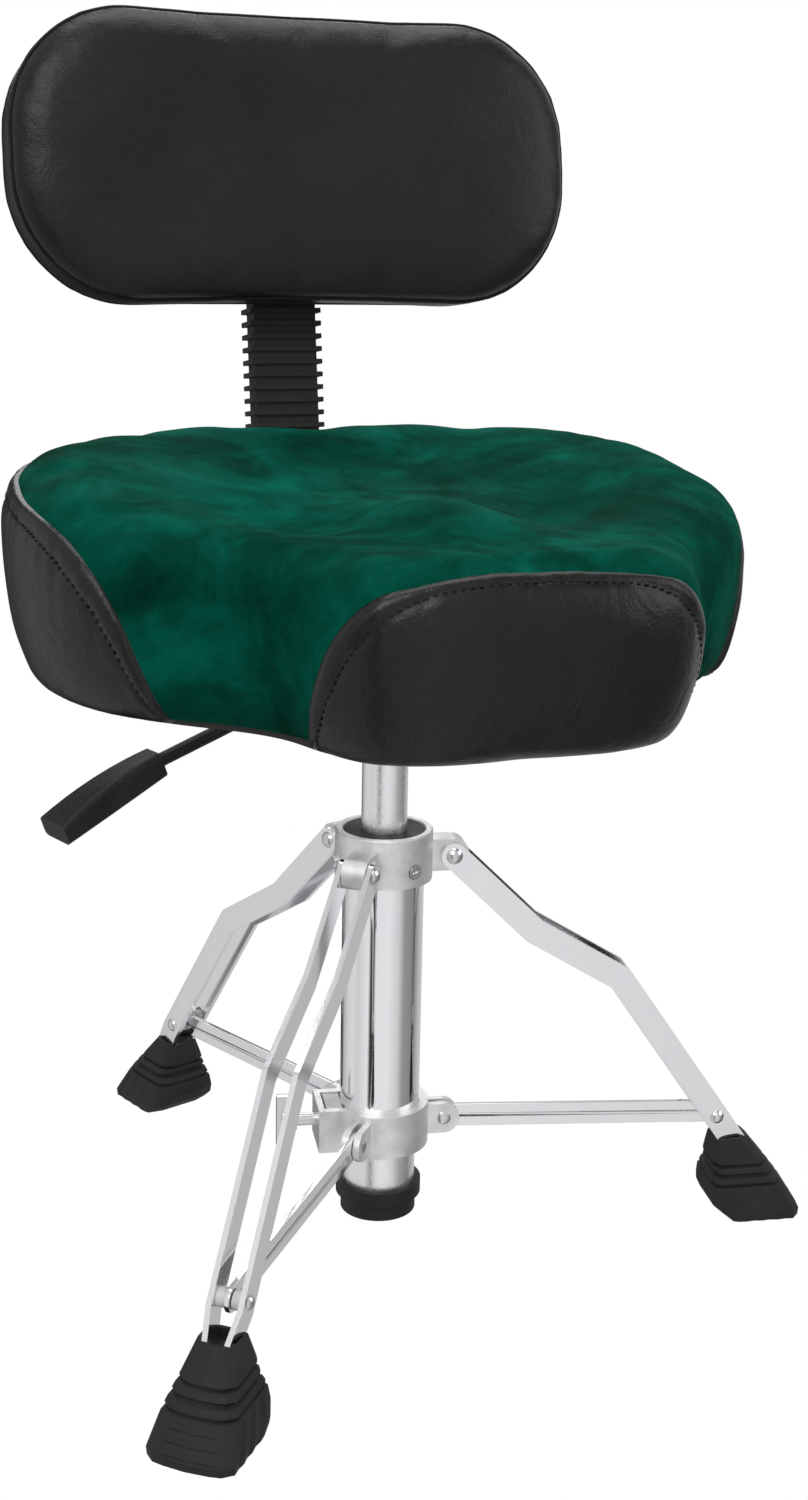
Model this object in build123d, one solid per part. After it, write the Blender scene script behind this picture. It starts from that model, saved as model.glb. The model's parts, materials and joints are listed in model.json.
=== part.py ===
from build123d import *
import math
import os

# Drum throne: saddle seat with backrest on a gas lift, over a folding double-bar tripod.
# Millimetres. The column is on the Z axis, the floor at z = SOLE_Z, and the sitter faces -Y.
# Parts are exported with the origin at the underside of the column end cap.
# Each leg is laid out in the XZ plane, as (radius, height) points, then turned about Z.

END_CAP_Z = 14.0            # underside of the end cap
SOLE_Z = -3.0               # underside of the rubber feet
FIT = 0.05                  # small radial clearance
CLEAR = 0.06                # clearance around pins and bolts

# Column and gas lift
TUBE_R, TUBE_RI, TUBE_TOP = 25.0, 23.0, 262
SLEEVE_R, SLEEVE_RI, SLEEVE_Z0 = 22.95, 21.2, 22
ROD_R = 5.0                 # piston rod
GAS_R, GAS_RI = 14.0, 12.4  # gas cylinder
GAS_Z0, GAS_H = 98, 247
RELEASE_R = 4.0
SOCKET_R = 19.0

# Tripod
LEG_ANGLES = [-10.4 + 120 * i for i in range(3)]
SCREW_ANGLES = [angle - 60 for angle in LEG_ANGLES]    # midway between the legs
CLAMP_ANGLE = LEG_ANGLES[0] + 180                      # opposite leg 1
HUB_PIVOT = (42.2, 250.0)
UPPER_BEND = (94.5, 199.0)
LOWER_BEND = (151.6, 164.8)
BRACE_PIVOT = (220.8, 65.6)
COLLAR_PIVOT = (40.8, 73.8)
HUB_R, HUB_Z0, HUB_Z1 = 30.0, 236.0, 267.0
HUB_ARM_T = 14.8
ARM_W = 20                  # height of the hub arms and collar ears
COLLAR_R, COLLAR_Z0, COLLAR_Z1 = 31.0, 60.0, 88.0
EAR_T = 12.0
BAR_W, BAR_T = 16.0, 3.2
BAR_IN = 7.6                # leg centre plane to the inner face of a bar
BAR_OUT = BAR_IN + BAR_T
BRACE_W, BRACE_T = 15.0, 3.0
SPACER_IN, SPACER_T = 2.1, 5.4
BOLT_R = 3.0
RIVET_R = 3.0

# Seat and mechanism
PLATE_Z, PLATE_T = 361.0, 3.0
SEAT_Z0, SEAT_Z1 = 366.0, 484.0
BOARD_T = 12.0              # depth of the board inside the cushion
BOARD_SCALE = 0.88          # board outline to cushion outline
SEAT_BOLTS = [(x, y) for x in (-78, 78) for y in (-66, 66)]
SEAT_BOLT_R = 3.5
LEVER_X, LEVER_Z = -30, 351     # lever pivot
LEVER_PIN_R, LEVER_PIN_L = 2.0, 62

# Backrest
TILT = math.radians(8.0)
BAR_Z = 356                     # level part of the backrest bar
BAR_ELBOW = (0, 210.0, 485.0)   # start of the inclined part of the bar
UPRIGHT_L = 228
BACK_S = 170.0                  # backrest centre along the upright
CARRIER_S = 178                 # carrier centre along the upright
BACK_W, BACK_H, BACK_CORNER_R = 375.0, 184.0, 80
BACK_RIM = 7                    # cushion edge beyond the board
BACK_BOARD_T, BACK_CUSHION_T = 10, 48
BOARD_Y = -14.0                 # back of the board, from the upright bar centre
BACK_SCREWS = [(x, CARRIER_S + dz) for x in (-44, 44) for dz in (-20, 20)]
BACK_SCREW_R = 2.5
CARRIER_PLATE_T = 1.5
KNOB_Y = 95                     # depth knob and bar bracket
KNOB_R, KNOB_STEM_R = 17, 4.0

MIN3 = (Align.CENTER, Align.CENTER, Align.MIN)
X_DIR, Y_DIR = (1, 0, 0), (0, 1, 0)
# On the upright: x across, y towards the back, z up along the bar
UPRIGHT = Plane(origin=BAR_ELBOW, x_dir=X_DIR, z_dir=(0, math.sin(TILT), math.cos(TILT)))

os.makedirs("parts", exist_ok=True)


# ---- helpers ----
def save(shape, name):
    export_step(Pos(0, 0, -END_CAP_Z) * shape, f"parts/{name}.step")


def group(shapes):
    return Compound([solid for shape in shapes for solid in shape.solids()])


def cyl(radius, height, origin, direction=(0, 0, 1)):
    return Plane(origin=origin, z_dir=direction) * Cylinder(radius, height, align=MIN3)


def z_cyl(radius, height, z):
    return cyl(radius, height, (0, 0, z))


def x_cyl(radius, length, x, z):
    return cyl(radius, length, (x, 0, z), X_DIR)


def ring(outer, inner, z0, z1):
    return z_cyl(outer, z1 - z0, z0) - z_cyl(inner, z1 - z0 + 2, z0 - 1)


def direction(start, end):
    length = math.dist(start, end)
    return (end[0] - start[0]) / length, (end[1] - start[1]) / length


def slab(start, end, width, thickness, y0=None):
    """Flat strip between two leg points, from y0, or centred on the leg plane."""
    y0 = -thickness / 2 if y0 is None else y0
    dx, dz = direction(start, end)
    plane = Plane(origin=(start[0], y0, start[1]), x_dir=(dx, 0, dz), z_dir=Y_DIR)
    align = (Align.MIN, Align.CENTER, Align.MIN)
    return plane * Box(math.dist(start, end), width, thickness, align=align)


def disc(at, radius, thickness, y0=None):
    """Disc along Y at a leg point, from y0, or centred on the leg plane."""
    y0 = -thickness / 2 if y0 is None else y0
    return cyl(radius, thickness, (at[0], y0, at[1]), Y_DIR)


def low_y(inner, thickness, side):
    """Lower y of a layer that starts at distance inner on one side (+1 or -1)."""
    return inner if side > 0 else -inner - thickness


def dome(at, radius, height, flat, side):
    """Low rounded head, its flat at distance flat on one side."""
    ball_r = (radius ** 2 + height ** 2) / (2 * height)
    ball = Pos(at[0], side * (flat + height - ball_r), at[1]) * Sphere(ball_r)
    return ball & cyl(radius, height + 1, (at[0], side * flat, at[1]), (0, side, 0))


# ---- column ----
# name, outer radius, inner radius, bottom z, top z
RINGS = (
    ("column_tube", TUBE_R, TUBE_RI, 62, TUBE_TOP),
    ("lower_sleeve", SLEEVE_R, SLEEVE_RI, SLEEVE_Z0, 120),
    ("rod_anchor_plate", SLEEVE_RI - FIT, ROD_R + FIT, 22.2, 30.8),
    ("thrust_bearing", 13, ROD_R + FIT, 31, 37),
    ("retaining_clip", 8.5, ROD_R + FIT, 37.2, 38.7),
    ("gas_piston", 12.3, ROD_R + FIT, 174, 186),
    ("lift_socket", SOCKET_R, GAS_R, 324, 344.9),
)
for name, *sizes in RINGS:
    save(ring(*sizes), name)

cap = z_cyl(23.8, 20, END_CAP_Z) + z_cyl(27.0, 9, 25) - z_cyl(SLEEVE_R, 20, SLEEVE_Z0)
save(cap - z_cyl(ROD_R + 0.2, 20, 18), "column_end_cap")
bush = ring(TUBE_RI - 0.02, GAS_R + FIT, 200, TUBE_TOP)
save(bush + ring(TUBE_R - FIT, GAS_R + FIT, TUBE_TOP, 266.4), "guide_bush")
save(z_cyl(ROD_R, 164, 24), "piston_rod")

gas = z_cyl(GAS_R, GAS_H, GAS_Z0) - z_cyl(GAS_RI, 226, GAS_Z0 + 6)
gas = gas - z_cyl(ROD_R + FIT, 10, GAS_Z0 - 1) - z_cyl(RELEASE_R + CLEAR, 20, 328)
save(gas, "gas_cylinder")
save(z_cyl(RELEASE_R, 15, 334), "release_pin")

# ---- hub ----
SCREW_Z, SCREW_R = 246, 2.5
CROSS_L, CROSS_W = 5.6, 1.1     # cross recess in the screw head


def make_hub():
    hub = ring(HUB_R, TUBE_R, HUB_Z0, HUB_Z1)
    hub = chamfer(hub.edges().filter_by(GeomType.CIRCLE).group_by(Axis.Z)[-1], 0.9)
    for angle in LEG_ANGLES:
        arm = slab((26.5, HUB_PIVOT[1]), HUB_PIVOT, ARM_W, HUB_ARM_T)
        arm = arm + disc(HUB_PIVOT, ARM_W / 2, HUB_ARM_T)
        arm = arm - z_cyl(TUBE_R, 60, 230) - disc(HUB_PIVOT, BOLT_R + CLEAR, 20)
        hub = hub + Rot(0, 0, angle) * arm
    for angle in SCREW_ANGLES:
        hub = hub - Rot(0, 0, angle) * x_cyl(SCREW_R + FIT, 12, 24, SCREW_Z)
        hub = hub - Rot(0, 0, angle) * x_cyl(4.8, 6, 28.8, SCREW_Z)
    return hub


def make_hub_screw():
    screw = x_cyl(SCREW_R, 4.0, TUBE_R + FIT, SCREW_Z) + x_cyl(4.3, 2.2, 28.9, SCREW_Z)
    for y_size, z_size in ((CROSS_L, CROSS_W), (CROSS_W, CROSS_L)):
        screw = screw - Pos(31, 0, SCREW_Z) * Box(2.0, y_size, z_size)
    return screw


save(make_hub(), "tripod_hub")
save(group([Rot(0, 0, angle) * make_hub_screw() for angle in SCREW_ANGLES]), "hub_screws")

# ---- collar with clamp ----
COLLAR_MID, COLLAR_H = (COLLAR_Z0 + COLLAR_Z1) / 2, COLLAR_Z1 - COLLAR_Z0
CLAMP_Z = 76                # clamp bolt axis
CLAMP_BOLT_R = 4.0
SHOE_W = 24
POCKET_W, POCKET_H, POCKET_Z = SHOE_W + 0.4, 30, 78
WING_X, WING_R, WING_L = 56.5, 17, 9


def make_collar():
    bore = z_cyl(TUBE_R + FIT, 60, 40)
    clamp_turn = Rot(0, 0, CLAMP_ANGLE)
    collar = ring(COLLAR_R, TUBE_R + FIT, COLLAR_Z0, COLLAR_Z1)
    for angle in LEG_ANGLES:
        ears = slab((28, COLLAR_PIVOT[1]), COLLAR_PIVOT, ARM_W, EAR_T)
        ears = ears + disc(COLLAR_PIVOT, ARM_W / 2, EAR_T)
        ears = ears - Pos(46, 0, COLLAR_PIVOT[1]) * Box(29.6, 3.6, 30)    # brace slot
        ears = ears - bore - disc(COLLAR_PIVOT, RIVET_R, 20)
        collar = collar + Rot(0, 0, angle) * ears
    housing = Pos(33, 0, COLLAR_MID) * Box(15, 34, COLLAR_H) - bore
    housing = housing - Pos(31, 0, POCKET_Z) * Box(11, POCKET_W, POCKET_H)
    housing = housing - x_cyl(CLAMP_BOLT_R + FIT, 20, 30, CLAMP_Z)
    collar = collar + clamp_turn * housing
    return collar - clamp_turn * (Pos(29.5, 0, POCKET_Z) * Box(12, POCKET_W, POCKET_H))


def make_wing_bolt():
    bolt = x_cyl(CLAMP_BOLT_R, 24, 35.2, CLAMP_Z) + x_cyl(6.5, 9, 53, CLAMP_Z)
    wing = Pos(WING_X + WING_L / 2, 0, CLAMP_Z) * Box(WING_L, 4.6, 2 * WING_R)
    return bolt + (wing & x_cyl(WING_R, WING_L, WING_X, CLAMP_Z))


def make_collar_rivet():
    rivet = disc(COLLAR_PIVOT, RIVET_R, EAR_T)
    for side in (1, -1):
        rivet = rivet + dome(COLLAR_PIVOT, 4.4, 1.4, EAR_T / 2, side)
    return rivet


save(make_collar(), "clamp_collar")
shoe = Pos(30, 0, CLAMP_Z) * Box(10, SHOE_W, 22) - z_cyl(TUBE_R + 0.1, 60, 40)
save(Rot(0, 0, CLAMP_ANGLE) * shoe, "clamp_shoe")
save(Rot(0, 0, CLAMP_ANGLE) * make_wing_bolt(), "clamp_wing_bolt")
save(group([Rot(0, 0, angle) * make_collar_rivet() for angle in LEG_ANGLES]), "collar_rivets")

# ---- legs, braces and feet ----
TAPER_S, TOE_S = 6, 36.0    # past the brace pivot: bars start to converge, bars end
TOE_IN = 3.4                # inner face distance at the end of a bar
# z, inner radius, outer radius, half width
FOOT_SECTIONS = (
    (SOLE_Z, 227.0, 280.0, 25.0),
    (12, 217.0, 275.0, 26.0),
    (33, 219.0, 258.0, 19.0),
    (50, 221.0, 243.5, 12.4),
)


def make_bar(side):
    points = (HUB_PIVOT, UPPER_BEND, LOWER_BEND, BRACE_PIVOT)
    y0 = low_y(BAR_IN, BAR_T, side)
    bar = None
    for start, end in zip(points, points[1:]):
        piece = slab(start, end, BAR_W, BAR_T, y0) + disc(start, BAR_W / 2, BAR_T, y0)
        bar = piece if bar is None else bar + piece
    dx, dz = direction(LOWER_BEND, BRACE_PIVOT)
    plane = Plane(origin=(BRACE_PIVOT[0], 0, BRACE_PIVOT[1]), x_dir=(dx, 0, dz), z_dir=(-dz, 0, dx))
    inner, outer = side * BAR_IN, side * BAR_OUT
    toe = Polyline((0, inner), (0, outer), (TAPER_S, outer), (TOE_S, side * (TOE_IN + BAR_T)),
                   (TOE_S, side * TOE_IN), (TAPER_S, inner), close=True)
    bar = bar + extrude(plane * make_face(toe), amount=BAR_W / 2, both=True)
    for pivot in (HUB_PIVOT, BRACE_PIVOT):
        bar = bar - disc(pivot, BOLT_R + CLEAR, 40)
    return bar


def make_foot():
    return loft([Pos((r0 + r1) / 2, 0, z) * RectangleRounded(r1 - r0, 2 * half_w, 3.5)
                 for z, r0, r1, half_w in FOOT_SECTIONS], ruled=True)


def make_brace():
    brace = slab(COLLAR_PIVOT, BRACE_PIVOT, BRACE_W, BRACE_T)
    for pivot in (COLLAR_PIVOT, BRACE_PIVOT):
        brace = brace + disc(pivot, BRACE_W / 2, BRACE_T)
    return brace - disc(COLLAR_PIVOT, RIVET_R + CLEAR, 10) - disc(BRACE_PIVOT, BOLT_R, 10)


def make_spacer(side):
    spacer = disc(BRACE_PIVOT, 5.6, SPACER_T, low_y(SPACER_IN, SPACER_T, side))
    return spacer - disc(BRACE_PIVOT, BOLT_R, 20)


def make_bolts(at, inner, head_r, head_h):
    """Two domed bolts, each from distance inner out through a bar."""
    length = BAR_OUT - inner
    return group([disc(at, BOLT_R, length, low_y(inner, length, side))
                  + dome(at, head_r, head_h, BAR_OUT, side) for side in (1, -1)])


bar_left, bar_right = make_bar(-1), make_bar(1)
LEG_PARTS = {
    "leg_{}_bar_left": bar_left,
    "leg_{}_bar_right": bar_right,
    "leg_{}_foot": make_foot() - bar_left - bar_right,
    "leg_{}_pivot_bolts": make_bolts(HUB_PIVOT, BAR_IN, 5.2, 3.0),
    "leg_{}_brace_bolts": make_bolts(BRACE_PIVOT, SPACER_IN, 4.6, 2.6),
    "brace_{}_strip": make_brace(),
    "leg_{}_brace_spacers": group([make_spacer(1), make_spacer(-1)]),
}
for number, angle in enumerate(LEG_ANGLES, 1):
    for name, shape in LEG_PARTS.items():
        save(Rot(0, 0, angle) * shape, name.format(number))
save(group([Rot(0, 0, angle) * disc(HUB_PIVOT, BOLT_R, HUB_ARM_T) for angle in LEG_ANGLES]),
     "hub_pivot_pins")

# ---- seat frame ----
HEAD_H = 3.6
plate = Pos(0, 0, PLATE_Z) * extrude(RectangleRounded(190, 170, 14), amount=PLATE_T)
seat_bolts = []
for x, y in SEAT_BOLTS:
    plate = plate - cyl(SEAT_BOLT_R + 0.1, 5, (x, y, PLATE_Z - 1))
    hexagon = Plane(origin=(x, y, PLATE_Z - HEAD_H - 0.1)) * RegularPolygon(2.6, 6)
    head = cyl(7.0, HEAD_H, (x, y, PLATE_Z - HEAD_H)) - extrude(hexagon, amount=2.2)
    seat_bolts.append(head + cyl(SEAT_BOLT_R, 12, (x, y, PLATE_Z)))
save(plate, "seat_plate")
save(group(seat_bolts), "seat_plate_bolts")


def lever_pin(radius, length):
    return cyl(radius, length, (LEVER_X, -length / 2, LEVER_Z), Y_DIR)


housing = Pos(-4, 0, 346) * Box(92, 60, 30) - Pos(-4, 0, 348) * Box(86, 54, 30)
housing = housing - Pos(-48, 0, 349) * Box(14, 26, 17) - z_cyl(SOCKET_R, 60, 320)
save(housing - lever_pin(LEVER_PIN_R + FIT, 80), "mechanism_housing")
save(lever_pin(LEVER_PIN_R, LEVER_PIN_L), "lever_pivot_pin")

# ---- lever ----
LEVER_R = 4
LEVER_START, LEVER_BEND = (-34, 0, LEVER_Z), (-84, -7, 346)
GRIP_START, GRIP_END = (-146, -22, 325), (-212, -44, 300)
LEVER_END = (-160, -26.7, 319.7)    # inside the grip
# distance along the grip, vertical shift, width, height
GRIP_SECTIONS = ((0, 0, 17, 15), (34, -1, 21, 17), (72, -5, 27, 12))


def link(start, end):
    run = Vector(*end) - Vector(*start)
    return cyl(LEVER_R, run.length, start, (run.X, run.Y, run.Z))


def make_lever():
    lever = Pos(-16, 0, LEVER_Z) * Box(36, 9, 3.8) + lever_pin(4.6, 9)
    lever = lever + link(LEVER_START, LEVER_BEND) + link(LEVER_BEND, GRIP_START)
    lever = lever + Pos(*LEVER_BEND) * Sphere(LEVER_R) + link(GRIP_START, LEVER_END)
    return lever - lever_pin(LEVER_PIN_R + CLEAR, 80)


def make_grip():
    run = Vector(*GRIP_END) - Vector(*GRIP_START)
    up = (-run.X * run.Z, -run.Y * run.Z, run.X ** 2 + run.Y ** 2)
    plane = Plane(origin=GRIP_START, x_dir=(run.X, run.Y, run.Z), z_dir=up)
    return loft([plane * (Plane.YZ.offset(along) * (Pos(0, shift) * RectangleRounded(w, h, 3)))
                 for along, shift, w, h in GRIP_SECTIONS])


lever = make_lever()
save(lever, "lever_rod")
save(make_grip() - lever, "lever_grip")

# ---- seat ----
# x, y of the +X half of the outline, from the front nose to the back
SEAT_HALF = [
    (0, -230), (50, -228), (87, -214), (107, -188), (118, -159),
    (138, -132), (170, -104), (200, -66), (216, -22), (219, 25),
    (210, 76), (186, 122), (145, 158), (84, 181), (0, 189),
]
SEAT_LOOP = SEAT_HALF + [(-x, y) for x, y in reversed(SEAT_HALF[1:-1])]


def seat_face(scale):
    return make_face(Spline(*[(x * scale, y * scale) for x, y in SEAT_LOOP], periodic=True))


def round_face(body, axis, index, radius):
    # Leaves the edges sharp if the fillet fails
    try:
        return fillet(body.faces().sort_by(axis)[index].edges(), radius)
    except Exception:
        return body


board_face = seat_face(BOARD_SCALE)
cushion = Pos(0, 0, SEAT_Z0) * extrude(seat_face(1), amount=SEAT_Z1 - SEAT_Z0)
cushion = round_face(cushion, Axis.Z, -1, 16)
cushion = cushion - Pos(0, 0, SEAT_Z0 - 1) * extrude(board_face, amount=BOARD_T + 1)
save(cushion, "seat_cushion")
board_z = PLATE_Z + PLATE_T
board = Pos(0, 0, board_z) * extrude(board_face, amount=SEAT_Z0 + BOARD_T - board_z)
for x, y in SEAT_BOLTS:
    board = board - cyl(SEAT_BOLT_R, 12.5, (x, y, PLATE_Z + 2))
save(board, "seat_board")


# ---- backrest arm ----
def make_back_bar():
    start = (0, 55, BAR_Z)
    tip = (0, BAR_ELBOW[1] + UPRIGHT_L * math.sin(TILT), BAR_ELBOW[2] + UPRIGHT_L * math.cos(TILT))
    path = FilletPolyline(start, (0, BAR_ELBOW[1], BAR_Z), BAR_ELBOW, tip, radius=14)
    return sweep(Plane(origin=start, x_dir=X_DIR, z_dir=Y_DIR) * Rectangle(40, 6), path)


def make_bellows():
    width, depth, base_z, pitch = 43, 17, 374, 8.4
    bellows = Pos(0, BAR_ELBOW[1], base_z) * Box(width, depth, 111.4, align=MIN3)
    bellows = bellows + UPRIGHT * Box(width, depth, 120, align=MIN3)
    bellows = bellows + UPRIGHT * Box(width, depth, 10)
    rib = Box(width + 6, depth + 6, 3.2, align=MIN3)
    for k in range(13):
        bellows = bellows + Pos(0, BAR_ELBOW[1], base_z + 3 + pitch * k) * rib
    for k in range(14):
        bellows = bellows + UPRIGHT * (Pos(0, 0, 2.0 + pitch * k) * rib)
    return bellows


def make_knob(stem_z, stem_l, head_z, head_l):
    """Knob along Z with eight notches around its head."""
    knob = z_cyl(KNOB_STEM_R, stem_l, stem_z) + z_cyl(KNOB_R, head_l, head_z)
    for k in range(8):
        a = math.radians(45 * k)
        notch_at = ((KNOB_R + 2) * math.cos(a), (KNOB_R + 2) * math.sin(a), head_z - 2)
        knob = knob - cyl(3.2, head_l + 4, notch_at)
    return knob


back_bar = make_back_bar()
save(back_bar, "backrest_bar")
save(make_bellows() - back_bar, "bar_bellows")
bracket = Pos(0, KNOB_Y, 354.2) * Box(54, 44, 13.5) - Pos(0, KNOB_Y, BAR_Z) * Box(40.2, 60, 6.2)
bracket = bracket - Pos(0, KNOB_Y, 360) * Box(40.2, 60, 4)
save(bracket - cyl(KNOB_STEM_R + CLEAR, 30, (0, KNOB_Y, 335)), "bar_bracket")
save(Pos(0, KNOB_Y, 0) * make_knob(338.9, 14, 325, 14), "depth_knob")


# ---- backrest ----
def rearward(x, y, z):
    """Frame at a point on the upright, its z towards the back."""
    return UPRIGHT * Pos(x, y, z) * Rot(-90, 0, 0)


def make_carrier():
    carrier = UPRIGHT * (Pos(0, -3, CARRIER_S) * Box(60, 20, 62))
    carrier = carrier - UPRIGHT * (Pos(0, 0, CARRIER_S) * Box(40.3, 6.3, 160))
    plate_y = BOARD_Y + CARRIER_PLATE_T / 2
    carrier = carrier + UPRIGHT * (Pos(0, plate_y, CARRIER_S) * Box(110, CARRIER_PLATE_T, 62))
    carrier = carrier - rearward(0, 5, CARRIER_S) * Cylinder(KNOB_STEM_R + CLEAR, 12)
    for x, z in BACK_SCREWS:
        carrier = carrier - rearward(x, BOARD_Y, z) * Cylinder(BACK_SCREW_R + FIT, 8)
    return carrier


def back_slab(rim, thickness):
    """Rounded slab reaching forward from the board's back, inset by rim all round."""
    plane = Plane(origin=(UPRIGHT * Pos(0, BOARD_Y, BACK_S)).position, x_dir=X_DIR,
                  z_dir=(0, -math.cos(TILT), math.sin(TILT)))
    outline = RectangleRounded(BACK_W - 2 * rim, BACK_H - 2 * rim, BACK_CORNER_R - rim)
    return extrude(plane * outline, amount=thickness)


save(make_carrier(), "backrest_carrier")
save(rearward(0, 0, CARRIER_S) * make_knob(3.2, 16, 10, 13), "height_knob")
back_board = back_slab(BACK_RIM, BACK_BOARD_T)
back_cushion = round_face(back_slab(0, BACK_CUSHION_T), Axis.Y, 0, 12)
save(back_cushion - back_board, "backrest_cushion")
for x, z in BACK_SCREWS:
    back_board = back_board - rearward(x, BOARD_Y, z) * Cylinder(BACK_SCREW_R, 14)
save(back_board, "backrest_board")
back_screw = z_cyl(4.5, 2.4, 0) + z_cyl(BACK_SCREW_R, 8, -8)
save(group([rearward(x, BOARD_Y + CARRIER_PLATE_T, z) * back_screw for x, z in BACK_SCREWS]),
     "backrest_screws")
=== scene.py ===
"""A three-legged throne: a saddle seat in velvet and black vinyl, a vinyl backrest, rubber feet.

+Z is up. The seat's nose points to -Y and the backrest stands at +Y, leaning back.
Outlines and tables are in design millimetres, to_frame() turns them into frame metres.
Values handed straight to Blender are in metres.
"""
import bpy
import bmesh
import json
import math
import random
from bisect import bisect_left
from mathutils import Vector, Matrix
from mathutils.bvhtree import BVHTree


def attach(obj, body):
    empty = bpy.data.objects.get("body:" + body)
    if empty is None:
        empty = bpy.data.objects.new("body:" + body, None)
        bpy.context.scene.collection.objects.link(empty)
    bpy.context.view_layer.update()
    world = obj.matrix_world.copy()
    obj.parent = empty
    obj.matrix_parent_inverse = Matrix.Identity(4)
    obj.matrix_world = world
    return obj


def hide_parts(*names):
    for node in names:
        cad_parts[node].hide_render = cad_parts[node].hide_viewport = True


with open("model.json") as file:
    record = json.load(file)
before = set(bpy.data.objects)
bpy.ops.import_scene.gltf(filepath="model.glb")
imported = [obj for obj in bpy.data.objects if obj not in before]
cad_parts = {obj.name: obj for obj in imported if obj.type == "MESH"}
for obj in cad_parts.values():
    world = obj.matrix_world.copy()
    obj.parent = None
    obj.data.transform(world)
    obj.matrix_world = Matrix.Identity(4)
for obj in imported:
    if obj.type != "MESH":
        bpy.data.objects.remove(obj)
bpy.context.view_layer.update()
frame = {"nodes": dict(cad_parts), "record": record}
random.seed(7)
NODES = frame["nodes"]
FULL_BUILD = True
ZERO_HEIGHT = -0.014              # design height 0 in the frame, m

# direction of each leg around the column, from its fold joint
LEG_ANGLE = {}
for joint in frame["record"]["behaviour"]["joints"]:
    if joint["name"].startswith("leg_") and joint["name"].endswith("_fold"):
        LEG_ANGLE[int(joint["name"][4])] = math.atan2(joint["pos_m"][1], joint["pos_m"][0])


# ---------------------------------------------------------------- shader nodes
class Nodes:
    """builds one node tree; an input takes either a value or another node's output"""

    def __init__(self, owner):
        owner.use_nodes = True
        self.tree = owner.node_tree
        self.tree.nodes.clear()

    def put(self, socket, value):
        if isinstance(value, bpy.types.NodeSocket):
            self.tree.links.new(value, socket)
        else:
            socket.default_value = value

    def add(self, kind, inputs=None, **settings):
        node = self.tree.nodes.new("ShaderNode" + kind)
        for key, value in settings.items():
            setattr(node, key, value)
        for key, value in (inputs or {}).items():
            self.put(node.inputs[key], value)
        return node

    def math(self, operation, first, second):
        return self.add("Math", {0: first, 1: second}, operation=operation).outputs[0]

    def ramp(self, factor, stops):
        """colour ramp through (position, rgb) stops"""
        node = self.add("ValToRGB")
        elements = node.color_ramp.elements
        for element, (position, colour) in zip(elements[:2], (stops[0], stops[-1])):
            element.position = position
            element.color = (*colour, 1)
        for position, colour in stops[1:-1]:
            elements.new(position).color = (*colour, 1)
        self.put(node.inputs[0], factor)
        return node.outputs[0]

    def remap(self, value, source, target):
        """maps the range source = (low, high) onto target = (low, high)"""
        inputs = dict(enumerate((value, *source, *target)))
        return self.add("MapRange", inputs).outputs[0]


class Surface(Nodes):
    """a material with one Principled shader, textured in object coordinates"""

    def __init__(self, name):
        self.material = bpy.data.materials.new(name)
        super().__init__(self.material)
        output = self.add("OutputMaterial")
        self.shader = self.add("BsdfPrincipled")
        self.put(output.inputs[0], self.shader.outputs[0])
        self.coords = self.add("TexCoord").outputs["Object"]

    def set(self, name, value):
        self.put(self.shader.inputs[name], value)

    def stretched(self, stretch):
        if not stretch:
            return self.coords
        return self.add("Mapping", {"Scale": stretch, "Vector": self.coords}).outputs[0]

    def noise(self, scale, detail, roughness=0.55, distortion=0.0, stretch=None):
        vector = self.stretched(stretch)
        return self.add("TexNoise", {
            "Scale": scale, "Detail": detail, "Roughness": roughness,
            "Distortion": distortion, "Vector": vector}).outputs["Fac"]

    def cell_edges(self, scale, stretch=None):
        vector = self.stretched(stretch)
        return self.add("TexVoronoi", {"Scale": scale, "Randomness": 1.0, "Vector": vector},
                        feature="DISTANCE_TO_EDGE").outputs["Distance"]

    def bump(self, *layers):
        """stacks bump layers of (height, strength, distance in m)"""
        previous = None
        for height, strength, distance in layers:
            inputs = {"Strength": strength, "Distance": distance, "Height": height}
            if previous is not None:
                inputs["Normal"] = previous
            previous = self.add("Bump", inputs).outputs[0]
        self.set("Normal", previous)


def grey(value):
    return (value,) * 3


# ---------------------------------------------------------------- materials
def vinyl(name, grain, wrinkle, base, specular, stretch=None):
    """leather-grained vinyl; grain is the cell scale, wrinkle the strength of the folds"""
    surf = Surface(name)
    cells = surf.cell_edges(scale=grain, stretch=stretch)
    pores = surf.noise(scale=grain * 0.45, detail=5, stretch=stretch)
    patches = surf.noise(scale=14, detail=3, distortion=0.6)
    folds = surf.noise(scale=46, detail=4, distortion=1.2)
    surf.set("Base Color", surf.ramp(patches, [
        (0.3, grey(base * 0.85)), (0.7, (base * 1.45, base * 1.45, base * 1.5))]))
    surf.set("Roughness", surf.remap(pores, (0.3, 0.75), (0.27, 0.40)))
    surf.set("Specular IOR Level", specular)
    surf.bump((folds, 0.22 * wrinkle, 0.004), (pores, 0.25, 0.0003), (cells, 0.5, 0.0003))
    return surf.material


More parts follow.
